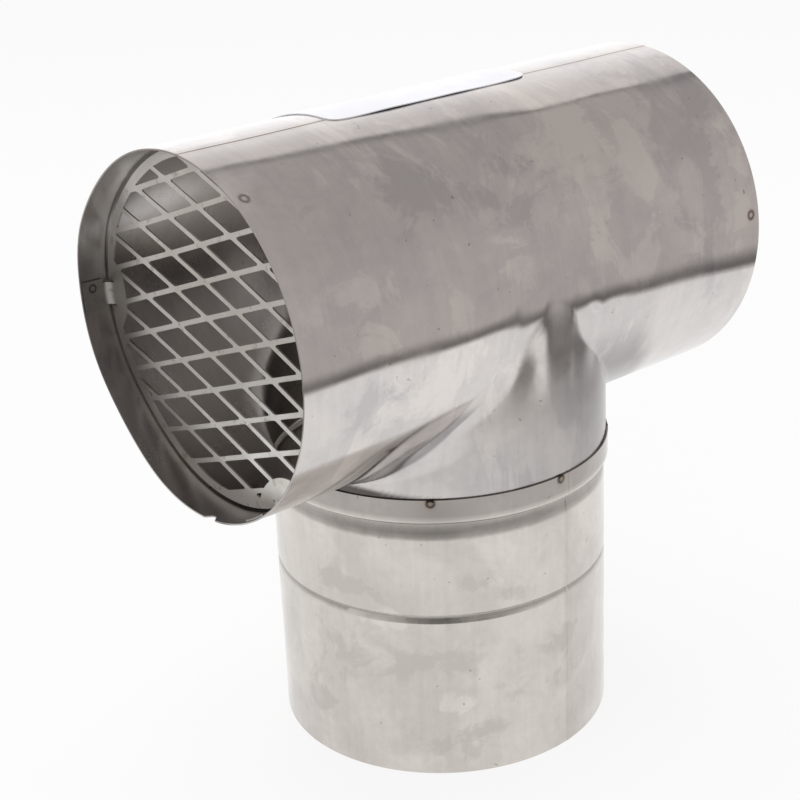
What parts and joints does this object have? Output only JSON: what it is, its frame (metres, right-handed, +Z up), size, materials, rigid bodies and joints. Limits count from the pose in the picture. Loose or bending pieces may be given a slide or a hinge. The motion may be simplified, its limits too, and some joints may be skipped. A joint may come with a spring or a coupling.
{
  "type": "stove pipe tee",
  "caption": "Stainless stove pipe tee: a level run with a diamond screen in each open end, on an upright branch sleeve with a plain spigot end.",
  "frame": {"origin": "centre of the branch's plain lower end, on the surface that the tee stands on", "axes": "+X along the run towards the far end, +Z up the branch; the picture looks from -Y and the near end"},
  "size_m": [0.175, 0.1042, 0.1936],
  "materials": {
    "body_steel": "mill finish, stained and dented",
    "sleeve_steel": "mill finish with faint upright grain",
    "screen_steel": "satin, with heat tint",
    "label_film": "blank white film"
  },
  "bodies": {
    "root": {"tee_body": "body_steel", "branch_sleeve": "sleeve_steel", "near_screen": "screen_steel", "far_screen": "screen_steel", "blank_label": "label_film"}
  },
  "joints": []
}
